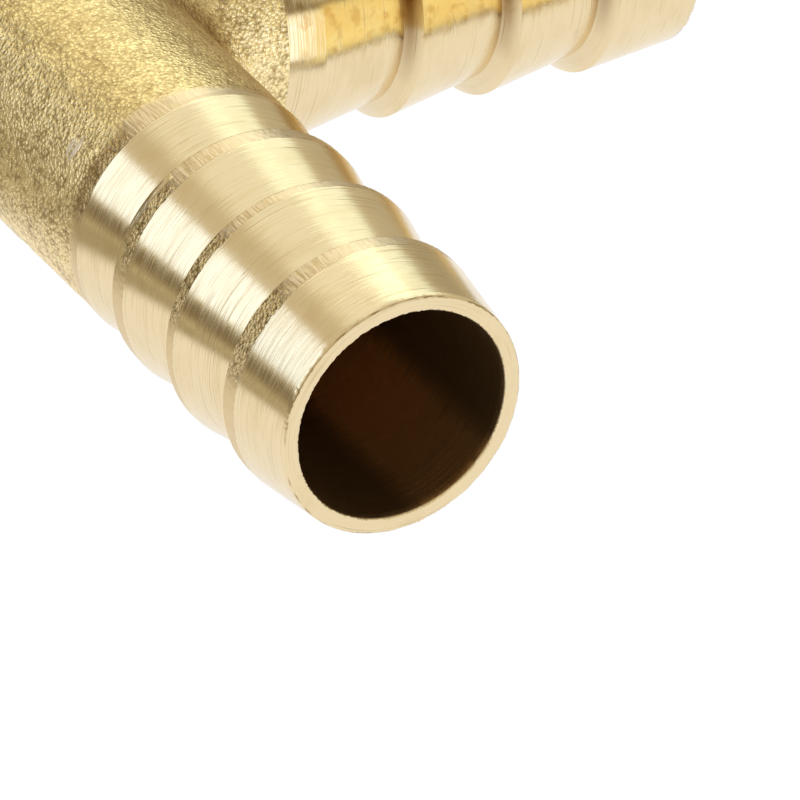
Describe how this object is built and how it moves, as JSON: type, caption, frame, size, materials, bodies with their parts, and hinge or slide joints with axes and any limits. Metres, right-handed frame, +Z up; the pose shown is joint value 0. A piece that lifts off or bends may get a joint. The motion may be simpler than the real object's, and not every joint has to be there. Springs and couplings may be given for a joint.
{
  "type": "barbed tee connector",
  "caption": "Brass tee for irrigation hose: a rough cast body bored straight through, with a turned barbed tail on each port for push-on hose.",
  "frame": {"origin": "where the axes of the run and the branch cross, in the middle of the run bore", "axes": "+X along the run bore towards the front hose tail, +Y out along the branch, +Z up, so that the tee lies flat on its barbs"},
  "size_m": [0.104, 0.0577, 0.0195],
  "materials": {
    "cast_brass": "rough as-cast skin, shot blasted",
    "turned_brass": "turned, with fine tool rings"
  },
  "bodies": {
    "root": {"cast_tee_body": "cast_brass", "run_barb_front": "turned_brass", "run_barb_rear": "turned_brass", "branch_barb": "turned_brass"}
  },
  "joints": []
}
